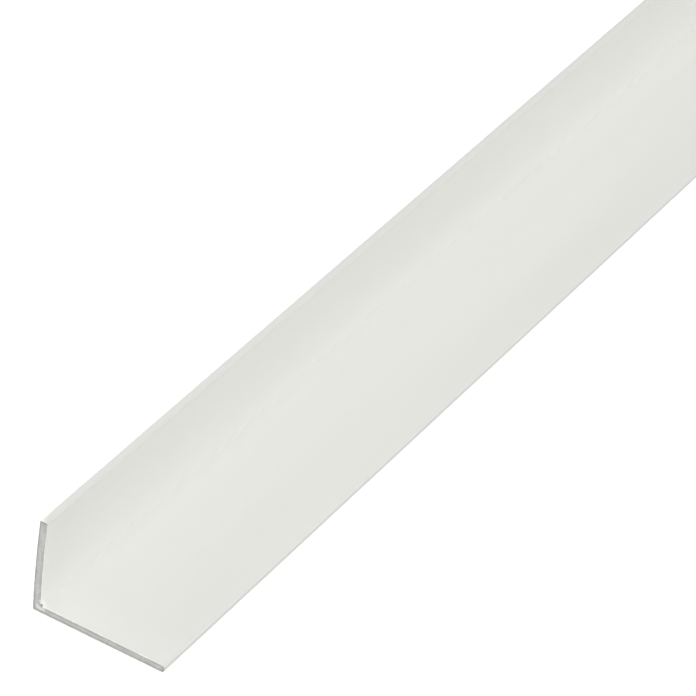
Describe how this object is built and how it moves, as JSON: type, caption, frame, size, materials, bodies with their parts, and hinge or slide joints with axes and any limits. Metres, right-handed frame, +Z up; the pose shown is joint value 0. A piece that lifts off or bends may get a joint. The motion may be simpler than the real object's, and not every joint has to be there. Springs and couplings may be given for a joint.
{
  "type": "corner guard moulding",
  "caption": "Unequal-leg angle moulding in white rigid plastic, sawn square at both ends, that covers and protects the corner of a wall.",
  "frame": {"origin": "on the underside of the long leg, midway across it and midway along the stock", "axes": "+Y along the stock, away from the sawn end in the picture; +X across the long leg, from the heel to its toe; +Z up the short leg, away from the floor"},
  "size_m": [0.035, 1, 0.025],
  "materials": {
    "white_plastic": "smooth satin white, as extruded, with a warm cast, duller on the sawn ends"
  },
  "bodies": {
    "root": {"corner_guard": "white_plastic"}
  },
  "joints": []
}
